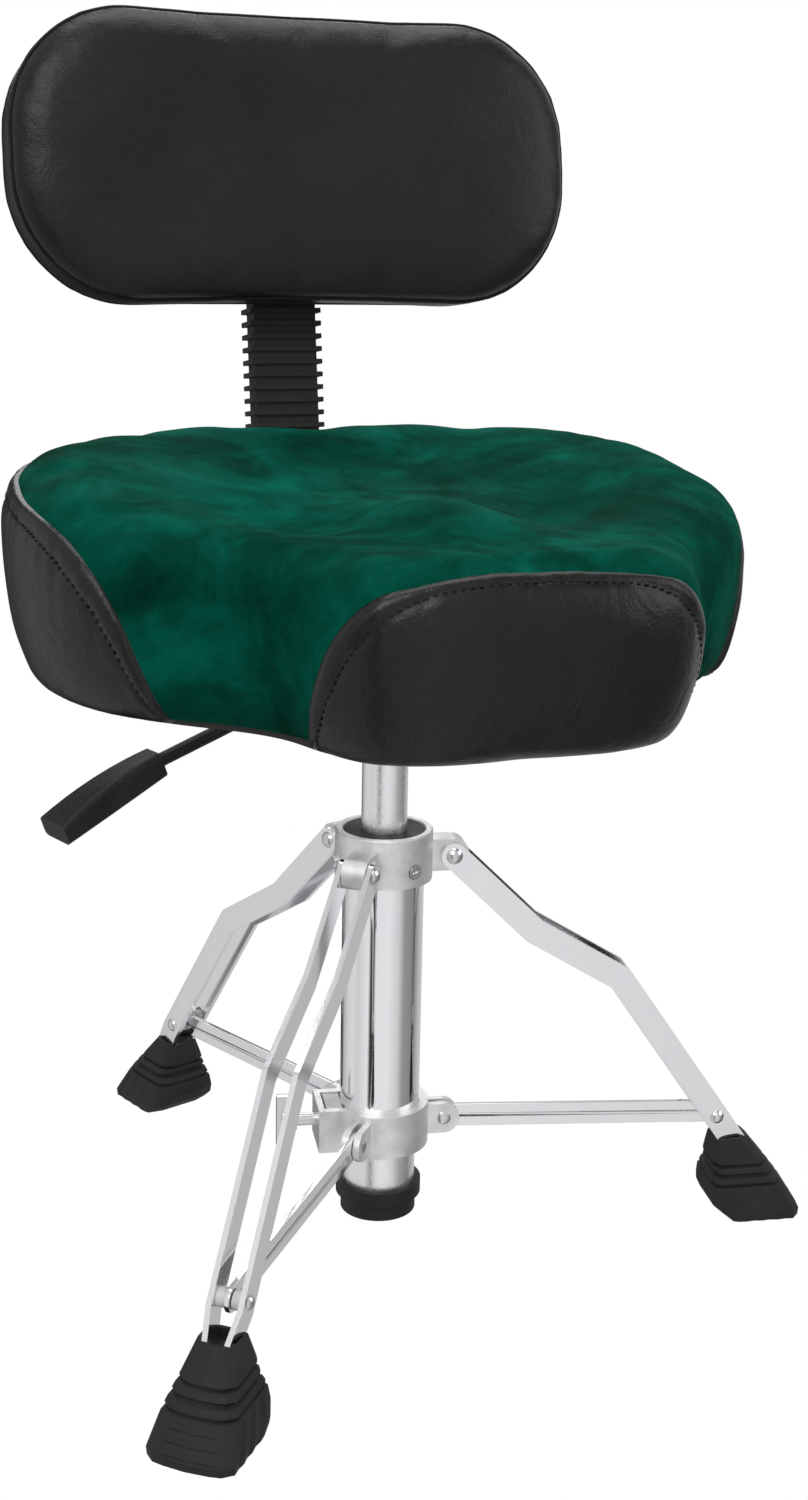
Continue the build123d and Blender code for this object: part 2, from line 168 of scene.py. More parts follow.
def velvet(name):
    surf = Surface(name)
    patches = surf.noise(scale=10, detail=6, roughness=0.6, distortion=0.9)
    fine = surf.noise(scale=32, detail=6, roughness=0.65, distortion=0.8)
    pile = surf.noise(scale=1500, detail=2, roughness=0.6)
    # crushed pile with painted sheen: 62 % broad patches, 38 % fine ones
    crushed_pile_and_sheen = surf.math("ADD", surf.math("MULTIPLY", patches, 0.62),
                        surf.math("MULTIPLY", fine, 0.38))
    # the base colour runs from the darker crushed pile to painted sheen on the lighter patches
    surf.set("Base Color", surf.ramp(crushed_pile_and_sheen, [
        (0.34, (0.0000, 0.022, 0.0135)), (0.46, (0.0000, 0.040, 0.0250)),
        (0.54, (0.0001, 0.058, 0.0375)), (0.68, (0.0004, 0.100, 0.0670))]))
    surf.set("Roughness", 0.85)
    surf.set("Specular IOR Level", 0.02)
    surf.set("Sheen Weight", surf.remap(crushed_pile_and_sheen, (0.42, 0.64), (0.0, 0.14)))
    surf.set("Sheen Roughness", 0.38)
    surf.set("Sheen Tint", (0.0, 0.62, 0.42, 1))
    surf.bump((patches, 0.15, 0.004), (fine, 0.2, 0.002), (pile, 0.5, 0.0004))
    return surf.material


def chrome(name, tint, rough):
    """smooth metal of brightness tint and mean roughness rough"""
    surf = Surface(name)
    surf.set("Metallic", 1.0)
    tone = surf.noise(scale=60, detail=3)
    micro = surf.noise(scale=900, detail=3, stretch=(1, 1, 1))
    surf.set("Base Color", surf.ramp(tone, [
        (0.35, (tint * 0.97, tint * 0.98, tint)), (0.65, grey(tint))]))
    surf.set("Roughness", surf.remap(micro, (0.3, 0.7), (rough * 0.7, rough * 1.5)))
    surf.bump((micro, 0.03, 0.0001))
    return surf.material


def cast_metal(name, tint):
    surf = Surface(name)
    surf.set("Metallic", 0.9)
    sand = surf.noise(scale=1400, detail=3, roughness=0.7)
    tone = surf.noise(scale=70, detail=5)
    surf.set("Base Color", surf.ramp(tone, [(0.3, grey(tint * 0.82)), (0.7, grey(tint * 1.1))]))
    surf.set("Roughness", surf.remap(sand, (0.3, 0.7), (0.32, 0.52)))
    surf.bump((tone, 0.1, 0.001), (sand, 0.5, 0.0004))
    return surf.material


def plastic(name, base, rough, grain):
    surf = Surface(name)
    pores = surf.noise(scale=grain, detail=3)
    tone = surf.noise(scale=40, detail=4)
    surf.set("Base Color", surf.ramp(tone, [(0.3, grey(base * 0.8)), (0.7, grey(base * 1.35))]))
    surf.set("Roughness", surf.remap(tone, (0.3, 0.7), (rough - 0.07, rough + 0.1)))
    surf.set("Specular IOR Level", 0.25)
    surf.bump((pores, 0.3, 0.0003))
    return surf.material


def wood(name):
    surf = Surface(name)
    bands = surf.noise(scale=20, detail=6, roughness=0.6, distortion=0.5, stretch=(1, 14, 1))
    fibres = surf.noise(scale=400, detail=3, stretch=(1, 10, 1))
    surf.set("Base Color", surf.ramp(bands, [
        (0.35, (0.010, 0.0085, 0.0075)), (0.65, (0.020, 0.017, 0.015))]))
    surf.set("Roughness", 0.7)
    surf.bump((fibres, 0.3, 0.0005))
    return surf.material


# keyed by material slot; seat_vinyl, welt, grip and thread are variants within a slot
MATERIALS = {
    "seat_velvet": velvet("green_velvet"),
    "seat_vinyl": vinyl("seat_vinyl", grain=430, wrinkle=1.1, base=0.0045, specular=0.34),
    "black_vinyl": vinyl("backrest_vinyl", grain=470, wrinkle=0.7, base=0.009, specular=0.24,
                         stretch=(0.6, 1.0, 1.6)),
    "welt": vinyl("welt_vinyl", grain=600, wrinkle=0.3, base=0.007, specular=0.15),
    "chrome_tube": chrome("polished_chrome", tint=0.95, rough=0.05),
    "chrome_strip": chrome("chrome_strip", tint=0.90, rough=0.09),
    "satin_steel": chrome("satin_steel", tint=0.96, rough=0.30),
    "cast_metal": cast_metal("cast_aluminium", tint=0.84),
    "zinc_fastener": chrome("zinc_fastener", tint=0.72, rough=0.2),
    "black_steel": plastic("black_paint", base=0.010, rough=0.38, grain=500),
    "black_plastic": plastic("black_plastic", base=0.013, rough=0.52, grain=1300),
    "grip": plastic("grip_plastic", base=0.014, rough=0.45, grain=900),
    "rubber_foot": plastic("foot_rubber", base=0.017, rough=0.6, grain=1500),
    "white_nylon": plastic("white_nylon", base=0.62, rough=0.5, grain=800),
    "brass_pin": chrome("turned_brass", tint=0.6, rough=0.25),
    "plywood": wood("stained_plywood"),
    "thread": plastic("thread", base=0.006, rough=0.7, grain=3000),
}


# ---------------------------------------------------------------- carried-over parts
def modify(obj, name, kind, **settings):
    modifier = obj.modifiers.new(name, kind)
    for key, value in settings.items():
        setattr(modifier, key, value)
    return modifier


def soften(obj, width, angle=35, segments=3):
    """small rounded edges, so that they catch the light"""
    modify(obj, "weld", "WELD", merge_threshold=2e-6)
    modify(obj, "edges", "BEVEL", width=width, segments=segments, limit_method="ANGLE",
           angle_limit=math.radians(angle), use_clamp_overlap=True)
    modify(obj, "wn", "WEIGHTED_NORMAL", keep_sharp=False)


SLOT_OF = {part["node"]: part["material_slot"] for part in frame["record"]["subparts"]}
FITTINGS = ("clamp_collar", "clamp_wing_bolt", "bar_bracket", "mechanism_housing",
            "lever_grip", "depth_knob", "height_knob")
for node_name, node in NODES.items():
    material = MATERIALS["grip" if node_name == "lever_grip" else SLOT_OF[node_name]]
    if not node.material_slots:
        node.data.materials.append(material)
    for material_slot in node.material_slots:
        material_slot.material = material

    if "_bar_left" in node_name or "_bar_right" in node_name:
        soften(node, width=0.0011)
    elif node_name.startswith("brace_") and node_name.endswith("strip"):
        soften(node, width=0.0008)
    elif node_name in FITTINGS:
        soften(node, width=0.0009, angle=40, segments=2)
    elif node_name == "bar_bellows":
        soften(node, width=0.0008, angle=50, segments=2)


# ---------------------------------------------------------------- mesh and curve helpers
def make(name, verts, faces, body, slot, material=None, smooth=True):
    """mesh object riding on body; material defaults to the slot's own"""
    mesh = bpy.data.meshes.new(name)
    mesh.from_pydata([tuple(v) for v in verts], [], faces)
    mesh.validate()
    editable = bmesh.new()
    editable.from_mesh(mesh)
    bmesh.ops.recalc_face_normals(editable, faces=editable.faces)
    editable.to_mesh(mesh)
    editable.free()
    for polygon in mesh.polygons:
        polygon.use_smooth = smooth
    obj = bpy.data.objects.new(name, mesh)
    bpy.context.collection.objects.link(obj)
    mesh.materials.append(MATERIALS[material or slot])
    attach(obj, body)
    return obj


def ring_faces(first, second, count):
    """quads between two closed rings of count vertices starting at first and second"""
    return [(first + i, first + (i + 1) % count, second + (i + 1) % count, second + i)
            for i in range(count)]


def to_frame(point):
    """design mm to frame m"""
    return Vector((point[0] / 1000, point[1] / 1000, point[2] / 1000 + ZERO_HEIGHT))


def smooth_step(start, end, x):
    share = min(1, max(0, (x - start) / (end - start)))
    return share * share * (3 - 2 * share)


def bell(x, y=0):
    return math.exp(-(x ** 2 + y ** 2))


def catmull_rom(knots, share):
    p0, p1, p2, p3 = knots
    return 0.5 * ((2 * p1) + (p2 - p0) * share + (2 * p0 - 5 * p1 + 4 * p2 - p3) * share * share
                  + (3 * p1 - p0 - 3 * p2 + p3) * share ** 3)


def running_lengths(points):
    lengths = [0]
    for start, end in zip(points, points[1:]):
        lengths.append(lengths[-1] + (end - start).length)
    return lengths


def find_span(lengths, distance):
    """index of the segment that holds distance, and the share of it covered"""
    i = max(min(bisect_left(lengths, distance) - 1, len(lengths) - 2), 0)
    return i, (distance - lengths[i]) / max(lengths[i + 1] - lengths[i], 1e-9)


def even_loop(points, count):
    """closed polyline resampled to count evenly spaced points, and its length"""
    lengths = running_lengths(points + points[:1])
    ring = []
    for i in range(count):
        j, share = find_span(lengths, lengths[-1] * i / count)
        ring.append(points[j].lerp(points[(j + 1) % len(points)], share))
    return ring, lengths[-1]


def spline_loop(knots, count, steps=24):
    """closed Catmull-Rom curve through knots, evenly resampled"""
    dense = []
    for i in range(len(knots)):
        near = [Vector(knots[(i + j - 1) % len(knots)]) for j in range(4)]
        dense += [catmull_rom(near, k / steps) for k in range(steps)]
    return even_loop(dense, count)


def surface_tree(obj):
    """search tree of the object's surface with its modifiers applied"""
    bpy.context.view_layer.update()
    return BVHTree.FromObject(obj, bpy.context.evaluated_depsgraph_get())


# ---------------------------------------------------------------- cushion softness
COVER_VOXEL = 0.005               # remesh size of a cover before it is inflated, m
SIM_FRAMES = 20


def inflate(obj, cap):
    """inflates a cover with a short cloth run, moving no vertex more than cap metres"""
    remesh = modify(obj, "rm", "REMESH", mode="VOXEL", voxel_size=COVER_VOXEL,
                    use_smooth_shade=True)
    depsgraph = bpy.context.evaluated_depsgraph_get()
    mesh = bpy.data.meshes.new_from_object(obj.evaluated_get(depsgraph))
    obj.modifiers.remove(remesh)
    obj.data = mesh
    rest = [v.co.copy() for v in mesh.vertices]

    cloth = obj.modifiers.new("cl", "CLOTH")
    settings = cloth.settings
    settings.quality = 4
    settings.mass = 0.3
    settings.tension_stiffness = 25
    settings.compression_stiffness = 25
    settings.bending_stiffness = 2.0
    settings.use_pressure = True
    settings.uniform_pressure_force = 4.0
    settings.effector_weights.gravity = 0
    cloth.collision_settings.use_collision = False
    scene = bpy.context.scene
    for clock in (scene, cloth.point_cache):
        clock.frame_start = 1
        clock.frame_end = SIM_FRAMES
    for i in range(1, SIM_FRAMES + 1):
        scene.frame_set(i)
    depsgraph = bpy.context.evaluated_depsgraph_get()
    inflated = [v.co.copy() for v in obj.evaluated_get(depsgraph).data.vertices]
    obj.modifiers.remove(cloth)
    scene.frame_set(1)

    for vertex, before, after in zip(obj.data.vertices, rest, inflated):
        move = after - before
        if move.length > cap:
            move = move * (cap / move.length)
        vertex.co = before + move
    for polygon in obj.data.polygons:
        polygon.use_smooth = True


def settle(obj, iterations, levels=1):
    """smooths the cover and, unless levels is 0, subdivides it"""
    modify(obj, "sm", "SMOOTH", iterations=iterations, factor=0.5)
    if levels:
        modify(obj, "sub", "SUBSURF", levels=levels, render_levels=levels)


# ---------------------------------------------------------------- seat shape
# +X half of the seat outline (x, y) from the nose tip to the middle of the rear
SEAT_HALF = [
    (0, -230), (50, -228), (87, -214), (107, -188), (118, -159), (138, -132), (170, -104),
    (200, -66), (216, -22), (219, 25), (210, 76), (186, 122), (145, 158), (84, 181), (0, 189)]
SEAT_STEPS = 288                  # points around the outline
SEAT_RINGS = 26                   # steps from the rim to the centre of the top
SEAT_CENTRE = Vector((0, -20))
SEAT_BASE = 363.6                 # height of the cover's lower edge
SEAT_FLOOR = 0.3662 + ZERO_HEIGHT  # lowest cover point, just above the board's lower face, m
RIM_LEVEL = 9.999                 # side level where the padded top begins
SIDE_LEVELS = [0, 0.6] + [i / 2 for i in range(2, 20)] + [RIM_LEVEL]

OUTLINE, OUTLINE_LENGTH = spline_loop(
    SEAT_HALF + [(-x, y) for x, y in reversed(SEAT_HALF[1:-1])], SEAT_STEPS)


def outline(along):
    """point and outward normal, along mm from the nose tip towards +X"""
    place = (along / OUTLINE_LENGTH) % 1.0 * SEAT_STEPS
    i = int(place) % SEAT_STEPS
    point = OUTLINE[i].lerp(OUTLINE[(i + 1) % SEAT_STEPS], place - int(place))
    before, after = OUTLINE[(i - 1) % SEAT_STEPS], OUTLINE[(i + 2) % SEAT_STEPS]
    tangent = (after - before).normalized()
    return point, Vector((tangent.y, -tangent.x))


def rim_height(y):
    """461 at its lowest, 31 higher at the rear and 3 higher at the nose tip"""
    return 461 + 31 * smooth_step(-190, 150, y) + 3 * smooth_step(-150, -229, y)


def top_height(x, y, edge):
    """height of the padded top; edge is 0 at the rim and 1 well inside"""
    z = rim_height(y)
    z -= 15 * bell(x / 125, (y - 35) / 85) * edge                      # middle hollow
    z -= 13 * bell((abs(x) - 88) / 46, (y + 72) / 62) * edge           # two front hollows
    z += 10 * bell(x / 40) * (1 - smooth_step(-110, 5, y)) * edge      # ridge on the nose
    return z


def side_point(along, level):
    """seat surface: level 0..9 climbs the side, 9..10 is the shoulder on the top"""
    point, outward = outline(along)
    height = rim_height(point.y) - SEAT_BASE
    # inset from the outline, height above the base; one row per level
    rows = [(42, 0), (24, 0.2), (13, 4.5), (6.5, 0.155 * height), (1.6, 0.35 * height),
            (-1.0, 0.58 * height), (-0.8, 0.77 * height), (3.0, 0.905 * height),
            (9.5, 0.965 * height), (19.0, height - 0.6), (34.0, height + 0.2)]
    level = min(max(level, 0), 9.9999)
    i = int(level)
    near = [Vector(rows[min(max(i + j - 1, 0), 10)]) for j in range(4)]
    section = catmull_rom(near, level - i)
    return Vector((point.x - outward.x * section.x, point.y - outward.y * section.x,
                   SEAT_BASE + section.y))


def side_normal(along, level):
    around = side_point(along + 2, level) - side_point(along - 2, level)
    upward = side_point(along, level + 0.08) - side_point(along, level - 0.08)
    return around.cross(upward).normalized()


def seat_cover():
    stations = [OUTLINE_LENGTH * i / SEAT_STEPS for i in range(SEAT_STEPS)]
    verts = [to_frame(side_point(along, level)) for level in SIDE_LEVELS for along in stations]
    rim = [side_point(along, RIM_LEVEL) for along in stations]
    for k in range(1, SEAT_RINGS):
        share = k / SEAT_RINGS
        for point in rim:
            x = point.x + (SEAT_CENTRE.x - point.x) * share
            y = point.y + (SEAT_CENTRE.y - point.y) * share
            shoulder = (point.z - rim_height(point.y)) * (1 - smooth_step(0, 0.3, share))
            z = top_height(x, y, smooth_step(0, 0.42, share)) + shoulder
            verts.append(to_frame((x, y, z)))
    faces = []
    last = len(verts) - SEAT_STEPS
    for first in range(0, last, SEAT_STEPS):
        faces += ring_faces(first, first + SEAT_STEPS, SEAT_STEPS)
    # fans close the top and the underside
    top = len(verts)
    verts.append(to_frame((SEAT_CENTRE.x, SEAT_CENTRE.y,
                           top_height(SEAT_CENTRE.x, SEAT_CENTRE.y, 1))))
    faces += [(last + i, last + (i + 1) % SEAT_STEPS, top) for i in range(SEAT_STEPS)]
    verts.append(to_frame((0, 0, 370)))
    faces += [(i, top + 1, (i + 1) % SEAT_STEPS) for i in range(SEAT_STEPS)]
    cover = make("seat_velvet_top", verts, faces, "seat", "seat_velvet")

    # soft unevenness of the velvet: broad 0.9 mm waves and finer 0.4 mm ones
    for vertex in cover.data.vertices:
        x, y, z = vertex.co
        if z > 0.40:
            broad = math.sin(x * 47 + 1.3 * math.sin(y * 31)) * math.sin(y * 41 + 1.7)
            fine = math.sin(x * 90 + y * 63) * math.sin(y * 84 - x * 35)
            vertex.co.z += (0.0009 * broad + 0.0004 * fine)
    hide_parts("seat_cushion")

    if FULL_BUILD:
        inflate(cover, cap=0.0035)
        settle(cover, 4)
    else:
        modify(cover, "rm", "REMESH", mode="VOXEL", voxel_size=0.006, use_smooth_shade=True)
        settle(cover, 4, levels=0)
    # the underside stays flat
    for vertex in cover.data.vertices:
        vertex.co.z = max(vertex.co.z, SEAT_FLOOR)
    return cover


seat = seat_cover()
SEAT_TREE = surface_tree(seat)


def on_seat(along, level, lift):
    """a point lift mm above the settled seat surface"""
    outward = side_normal(along, level)
    point = to_frame(side_point(along, level))
    hit = SEAT_TREE.ray_cast(point + outward * 0.03, -outward, 0.06)[0]
    # where the ray misses, the designed surface stands in
    return (hit if hit is not None else point) + outward * (lift / 1000)


# ---------------------------------------------------------------- seat side panels
PANEL_STEPS = 150                 # along a panel
PANEL_ROWS = 34                   # up a panel
PANEL_FOOT = 0.55                 # level of a panel's lower edge
LEVEL_HEIGHT = 11.5               # nominal mm per level
STITCH_DROP = 12                  # stitched groove below the seam

THREAD_RADIUS = 0.00055           # m
STITCH_PITCH = 0.0047             # m
STITCH_GAP = 0.38                 # share of the pitch without thread
THREAD_SIDES = 6
# share of a stitch's length, lift in m, share of the thread radius
STITCH_SECTIONS = [(0, -0.0003, 0.5), (0.18, 0.0004, 0.95), (0.5, 0.0006, 1.1),
                   (0.82, 0.0004, 0.95), (1, -0.0003, 0.5)]


def nearest_station(x, y, steps=400):
    """distance along the +X half of the outline nearest to (x, y)"""
    stations = [OUTLINE_LENGTH / 2 * k / steps for k in range(steps + 1)]
    return min(stations, key=lambda along: (outline(along)[0] - Vector((x, y))).length)


FRONT_END = nearest_station(116, -163)         # lower corner of the front panel
LEFT_START = nearest_station(167, -107)        # lower front corner, -X panel (mirrored)
RIGHT_START = nearest_station(190, -80)        # lower front corner, +X panel
SIDE_END = nearest_station(112, 171)           # lower rear corner of both side panels


def rise(distance, run, power=2.1, root=0.52):
    """curve from 0 to 1 as distance goes from 0 to run"""
    share = min(max(distance / run, 0), 1)
    return (1 - (1 - share) ** power) ** root


def seam_front(along):
    """level of the front panel's seam, 1.2 at its ends and 8.6 at the nose"""
    return 1.2 + (8.6 - 1.2) * rise(FRONT_END - abs(along), FRONT_END * 0.93, 2.2, 0.86)


def seam_side(along, start):
    """level of a side panel's seam, 1.3 at its ends and 7.55 between"""
    return 1.3 + (7.55 - 1.3) * min(rise(along - start, 118), rise(SIDE_END - along, 118))


def cosine_station(start, end, i, count):
    """station i of count, closer together near both ends"""
    return start + (end - start) * (0.5 - 0.5 * math.cos(math.pi * i / count))


def panel(name, start, end, seam):
    """panel on the seat's side, with a rolled edge and a stitched groove along its seam"""
    outer, inner = [], []
    for i in range(PANEL_STEPS + 1):
        along = cosine_station(start, end, i, PANEL_STEPS)
        seam_level = seam(along)
        from_end = min(along - start, end - along)
        for k in range(PANEL_ROWS + 1):
            level = PANEL_FOOT + (seam_level - PANEL_FOOT) * (k / PANEL_ROWS)
            below = (seam_level - level) * LEVEL_HEIGHT
            lift = 2.1 * (1 - math.exp(-(below / 2.2)))                # rolled edge
            lift += 0.9 * bell((below - 6.0) / 4.0)                    # padded band
            lift -= 1.0 * bell((below - STITCH_DROP) / 1.5)            # stitched groove
            lift += 0.45 * (math.sin(along * 0.31) * math.sin(along * 0.117 + 2)
                            * bell((below - STITCH_DROP) / 9))         # puckers
            lift *= smooth_step(-0.5, 5, from_end)
            outer.append(on_seat(along, level, lift + 0.2))
            level = PANEL_FOOT + (seam_level - PANEL_FOOT) * k / PANEL_ROWS
            inner.append(on_seat(along, level, -1.0))

    width = PANEL_ROWS + 1
    skin = len(outer)
    cells = [(i * width + k, (i + 1) * width + k)
             for i in range(PANEL_STEPS) for k in range(PANEL_ROWS)]
    faces = [(a, b, b + 1, a + 1) for a, b in cells]
    faces += [(skin + a, skin + a + 1, skin + b + 1, skin + b) for a, b in cells]

    def wall(a, b, flip):
        return (a, b, skin + b, skin + a) if flip else (a, skin + a, skin + b, b)

    for i in range(PANEL_STEPS):
        for k in (0, PANEL_ROWS):
            faces.append(wall(i * width + k, (i + 1) * width + k, flip=k > 0))
    for k in range(PANEL_ROWS):
        for i in (0, PANEL_STEPS):
            faces.append(wall(i * width + k, i * width + k + 1, flip=i == 0))
    return make(name, outer + inner, faces, "seat", "black_vinyl", "seat_vinyl")


def stitch_path(start, end, seam, steps=360):
    """points and normals in the groove below a seam, 3 mm short of the panel's ends"""
    points, normals = [], []
    for i in range(steps + 1):
        along = cosine_station(start + 3, end - 3, i, steps)
        level = seam(along) - STITCH_DROP / LEVEL_HEIGHT
        if level >= 0.9:
            points.append(on_seat(along, level, 1.75))
            normals.append(side_normal(along, level))
    return points, normals


def stitch_row(name, points, normals):
    """short thread lengths laid end to end along a line"""
    lengths = running_lengths(points)

    def place(distance):
        j, share = find_span(lengths, distance)
        return (points[j].lerp(points[j + 1], share),
                normals[j].lerp(normals[j + 1], share).normalized())

    verts, faces = [], []
    distance = 0.002
    while distance + STITCH_PITCH < lengths[-1]:
        start, outward = place(distance)
        end = place(distance + STITCH_PITCH * (1 - STITCH_GAP))[0]
        side = (end - start).normalized().cross(outward).normalized()
        base = len(verts)
        for share, lift, swell in STITCH_SECTIONS:
            centre = start.lerp(end, share) + outward * lift
            for k in range(THREAD_SIDES):
                angle = math.pi * k / 3
                spoke = side * math.cos(angle) + outward * math.sin(angle)
                verts.append(centre + spoke * THREAD_RADIUS * swell)
        last = len(verts) - THREAD_SIDES
        for first in range(base, last, THREAD_SIDES):
            faces += ring_faces(first, first + THREAD_SIDES, THREAD_SIDES)
        faces.append(tuple(base + k for k in range(THREAD_SIDES)))
        faces.append(tuple(last + k for k in reversed(range(THREAD_SIDES))))
        distance += STITCH_PITCH
    make(name, verts, faces, "seat", "black_vinyl", "thread")


# panel name, stitches name, start and end along the outline, seam
PANELS = [
    ("seat_front_panel", "seat_front_stitches", -FRONT_END, FRONT_END, seam_front),
    ("seat_side_panel_right", "seat_side_stitches_right", RIGHT_START, SIDE_END,
     lambda along: seam_side(along, RIGHT_START)),
    ("seat_side_panel_left", "seat_side_stitches_left",
     OUTLINE_LENGTH - SIDE_END, OUTLINE_LENGTH - LEFT_START,
     lambda along: seam_side(OUTLINE_LENGTH - along, LEFT_START))]

panels = [panel(name, *span) for name, _, *span in PANELS]
# the seat and what lies under it stay out of the metal's reflections
for part in [seat, *panels, NODES["seat_board"], NODES["seat_plate"],
             NODES["mechanism_housing"]]:
    part.visible_glossy = False
for _, name, *span in PANELS:
    stitch_row(name, *stitch_path(*span))

# ---------------------------------------------------------------- backrest cushion
BACK_TILT = math.radians(8)
BACK_UP = Vector((0, math.sin(BACK_TILT), math.cos(BACK_TILT)))
BACK_FRONT = Vector((0, -math.cos(BACK_TILT), math.sin(BACK_TILT)))    # towards the sitter
# centre of the cushion's rear face
BACK_CENTRE = Vector((0, 210, 485)) + BACK_UP * 170 + BACK_FRONT * 14
BACK_HALF_WIDTH = 187.0
BACK_HALF_HEIGHT = 91.5
BACK_CORNER = 79.0
BACK_STEPS = 240                  # points around the cushion
# inset from the outline, distance in front of the rear face
BACK_SECTION = [
    (16, 0.4), (7, 0.0), (2.5, 1.2), (0.8, 4), (0, 10), (-0.6, 20), (-0.4, 30), (0.2, 37),
    (0.9, 40.5), (2.4, 43.4), (5.5, 46.0), (10.5, 48.0), (18, 49.5), (28, 50.6), (40, 51.6),
    (54, 52.4), (68, 52.9), (80, 53.1)]
# name, inset from the outline, distance in front of the rear face
WELTS = [("backrest_front_welt", 0.4, 41.0), ("backrest_rear_welt", 1.6, 3.0)]
WELT_RADIUS = 0.0013              # m
WELT_SIDES = 8
WELT_REACH = 12                   # how far outside the welts start before they are laid on


def back_ring(inset, forward):
    """rounded rectangle in the backrest's plane, evenly spaced, in frame metres"""
    radius = max(BACK_CORNER - inset, 2)
    flat_x = BACK_HALF_WIDTH - inset - radius
    flat_z = BACK_HALF_HEIGHT - inset - radius
    quarter = BACK_STEPS // 4
    corners = []
    for sign_x, sign_z, start in ((1, 1, 0), (-1, 1, 90), (-1, -1, 180), (1, -1, 270)):
        for k in range(quarter):
            angle = math.radians(start + 90 * k / (quarter - 1))
            corners.append(Vector((sign_x * flat_x + radius * math.cos(angle),
                                   sign_z * flat_z + radius * math.sin(angle))))
    return [to_frame(BACK_CENTRE + Vector((p.x, 0, 0)) + BACK_UP * p.y + BACK_FRONT * forward)
            for p in even_loop(corners, BACK_STEPS)[0]]


def backrest_pad():
    verts, faces = [], []
    for inset, forward in BACK_SECTION:
        verts += back_ring(inset, forward)
    last = len(verts) - BACK_STEPS
    for first in range(0, last, BACK_STEPS):
        faces += ring_faces(first, first + BACK_STEPS, BACK_STEPS)
    faces.append(tuple(last + i for i in range(BACK_STEPS)))
    faces.append(tuple(reversed(range(BACK_STEPS))))
    pad = make("backrest_pad", verts, faces, "backrest", "black_vinyl")
    if FULL_BUILD:
        inflate(pad, cap=0.004)
        settle(pad, 3)
    # the rear face stays flat on its board, clear of the sleeve on the bar
    for vertex in pad.data.vertices:
        x, y, z = vertex.co
        point = Vector((x * 1000, y * 1000, (z - ZERO_HEIGHT) * 1000))
        forward = (point - BACK_CENTRE).dot(BACK_FRONT)
        if forward < 0.2:
            vertex.co += BACK_FRONT * ((0.2 - forward) / 1000)
    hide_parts("backrest_cushion")
    return pad


def welt(name, points):
    """closed round cord through the points"""
    verts, faces = [], []
    count = len(points)
    for i in range(count):
        tangent = (points[(i + 1) % count] - points[(i - 1) % count]).normalized()
        across = tangent.cross(BACK_FRONT).normalized()
        other = tangent.cross(across)
        for k in range(WELT_SIDES):
            angle = 2 * math.pi * k / WELT_SIDES
            spoke = across * math.cos(angle) + other * math.sin(angle)
            verts.append(points[i] + spoke * WELT_RADIUS)
        faces += ring_faces(i * WELT_SIDES, (i + 1) % count * WELT_SIDES, WELT_SIDES)
    make(name, verts, faces, "backrest", "black_vinyl", "welt")


back_tree = surface_tree(backrest_pad())
for name, inset, forward in WELTS:
    hits = [back_tree.find_nearest(p) for p in back_ring(inset - WELT_REACH, forward)]
    welt(name, [hit[0] + hit[1] * 0.0002 for hit in hits])

# ---------------------------------------------------------------- feet
# in the leg's own plane; each table is (height, value)
FOOT_OUTER = [(-3, 279.5), (2, 279.8), (20, 268), (33, 258), (50, 244)]
FOOT_INNER = [(-3, 229), (4, 221), (11, 217.5), (20, 217.5), (27, 220.5), (36, 219.5), (50, 221)]
FOOT_HALF_WIDTH = [(-3, 25.5), (2, 25.8), (20, 22.0), (36, 16.4), (50, 12.2)]
FOOT_BOTTOM = -3.0
FOOT_TOP = 50
FOOT_STEP = 0.8
FOOT_GROOVES = (20.5, 26.5, 32.5)  # heights of the deep grooves all round
GROOVE_DEPTH = 2.4
TREAD_LINES = (2.5, 8, 13.5)      # heights of the shallow lines on the outer face
RIDGE = 1.6                       # how far the outer face is crowned
FLUTE = 0.35                      # depth of the upright flutes on the sides
FLUTE_STEPS = 7
# share of the top section, drop below the rim
FOOT_WELL = [(0.80, 0.0), (0.76, -5.0)]


def interpolate(table, z):
    for (z0, value0), (z1, value1) in zip(table, table[1:]):
        if z <= z1:
            return value0 + (value1 - value0) * (z - z0) / (z1 - z0)


def foot_section(z):
    """closed section (radius, sideways) of a foot at height z"""
    groove = sum(math.exp(-(z - c) ** 4) for c in FOOT_GROOVES) * GROOVE_DEPTH
    tread = smooth_step(19.5, 18.5, z)         # 1 on the lower part, 0 above
    line = 0.9 * sum(math.exp(-((z - c) / 0.6) ** 4) for c in TREAD_LINES) * tread
    outer = interpolate(FOOT_OUTER, z) - groove - RIDGE
    inner = interpolate(FOOT_INNER, z) + groove * 0.8
    width = interpolate(FOOT_HALF_WIDTH, z) - groove
    chamfer = 4.6 + 0.02 * (FOOT_TOP - z)
    half = [(inner, -width * 0.55), (inner + 3, -width + 1.2), (inner + 6, -width)]
    for i in range(1, FLUTE_STEPS):
        half.append((inner + 6 + (outer - chamfer - inner - 6) * i / FLUTE_STEPS,
                     -width - (FLUTE if i % 2 else -FLUTE) * tread))
    half += [(outer - chamfer, -width), (outer - 0.6, -width + chamfer),
             (outer + RIDGE * 0.4 - line, -width * 0.52)]
    crown = (outer + RIDGE - line * 0.6, 0)
    return half + [crown] + [(radius, -side) for radius, side in reversed(half)]


